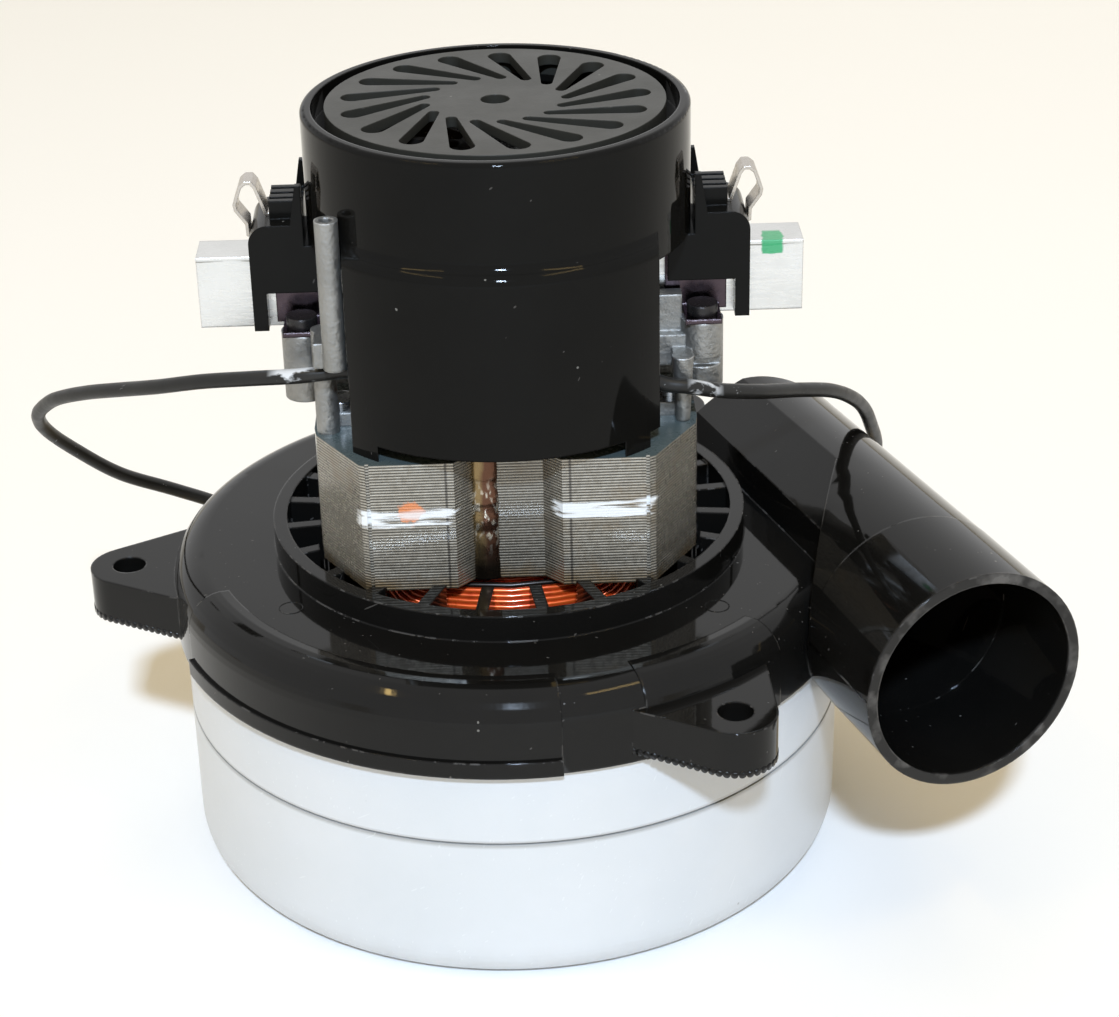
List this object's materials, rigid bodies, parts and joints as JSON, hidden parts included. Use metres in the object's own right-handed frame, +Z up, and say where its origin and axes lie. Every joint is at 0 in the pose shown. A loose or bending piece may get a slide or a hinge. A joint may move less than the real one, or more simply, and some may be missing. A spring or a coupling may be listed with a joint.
{
  "type": "vacuum motor unit",
  "caption": "Bypass vacuum motor with a pale grey fan case, black bracket with mounting ears and a tangential discharge horn, laminated field core, brush gear and vented cover.",
  "frame": {"origin": "centre of the fan case's bottom face, on the shaft's axis, where the inlet eye opens", "axes": "+Z up along the shaft, +X along the brush axis to the right of the picture, +Y away from the camera"},
  "size_m": [0.2227, 0.1943, 0.1668],
  "materials": {
    "case_paint": "satin pale blue-grey paint",
    "black_moulding": "glossy black moulding",
    "bright_steel": "plain ground steel",
    "sheet_alloy": "plain rolled sheet",
    "lamination": "stacked sheet edges under clear varnish",
    "copper": "enamelled copper wire",
    "resin": "moulded resin",
    "cast_alloy": "plain die casting",
    "tinned_sheet": "bright plated sheet",
    "carbon": "pressed carbon",
    "dark_steel": "black oxide",
    "lead_jacket": "satin black insulation"
  },
  "bodies": {
    "housing": {"lower_fan_shell": "case_paint", "upper_fan_shell": "case_paint", "fan_bracket": "black_moulding", "bearing_retainer": "bright_steel", "retainer_screws": "bright_steel", "stationary_fan": "sheet_alloy", "lower_bearing_outer": "bright_steel", "upper_bearing_outer": "bright_steel", "field_core": "lamination", "field_coil_front": "copper", "field_coil_back": "copper", "coil_former_front": "copper", "coil_former_back": "copper", "commutator_bracket": "cast_alloy", "through_bolts": "bright_steel", "brush_tube_left": "tinned_sheet", "brush_tube_right": "tinned_sheet", "brush_spring_left": "bright_steel", "brush_spring_right": "bright_steel", "brush_housing_left": "black_moulding", "brush_housing_right": "black_moulding", "brush_clamp_left": "dark_steel", "brush_clamp_right": "dark_steel", "clamp_screws": "dark_steel", "terminal_clip_left": "tinned_sheet", "terminal_clip_right": "tinned_sheet", "motor_cover": "black_moulding", "intake_grille": "black_moulding", "lead_left": "lead_jacket", "lead_right": "lead_jacket", "lead_splices": "tinned_sheet", "lead_terminal_left": "tinned_sheet", "lead_terminal_right": "tinned_sheet"},
    "rotor": {"shaft": "bright_steel", "lower_fan": "sheet_alloy", "upper_fan": "sheet_alloy", "fan_spacers": "bright_steel", "fan_washers": "bright_steel", "shaft_nut": "bright_steel", "lower_bearing_inner": "bright_steel", "lower_bearing_balls": "bright_steel", "upper_bearing_inner": "bright_steel", "upper_bearing_balls": "bright_steel", "armature_core": "lamination", "armature_winding": "copper", "commutator": "copper", "commutator_hub": "resin", "cooling_fan": "black_moulding"},
    "brush_left": {"carbon_brush_left": "carbon"},
    "brush_right": {"carbon_brush_right": "carbon"}
  },
  "joints": [
    {"name": "rotor_spin", "type": "hinge", "parent": "housing", "child": "rotor", "pos_m": [0, 0, 0.1], "axis": [0, 0, 1], "continuous": true},
    {"name": "brush_left_slide", "type": "slide", "parent": "housing", "child": "brush_left", "axis": [-1, 0, 0], "range_m": [0, 0.006], "stiffness_N_per_m": 200, "springref_m": -0.01, "deforming": ["brush_spring_left"]},
    {"name": "brush_right_slide", "type": "slide", "parent": "housing", "child": "brush_right", "axis": [1, 0, 0], "range_m": [0, 0.006], "stiffness_N_per_m": 200, "springref_m": -0.01, "deforming": ["brush_spring_right"]}
  ]
}
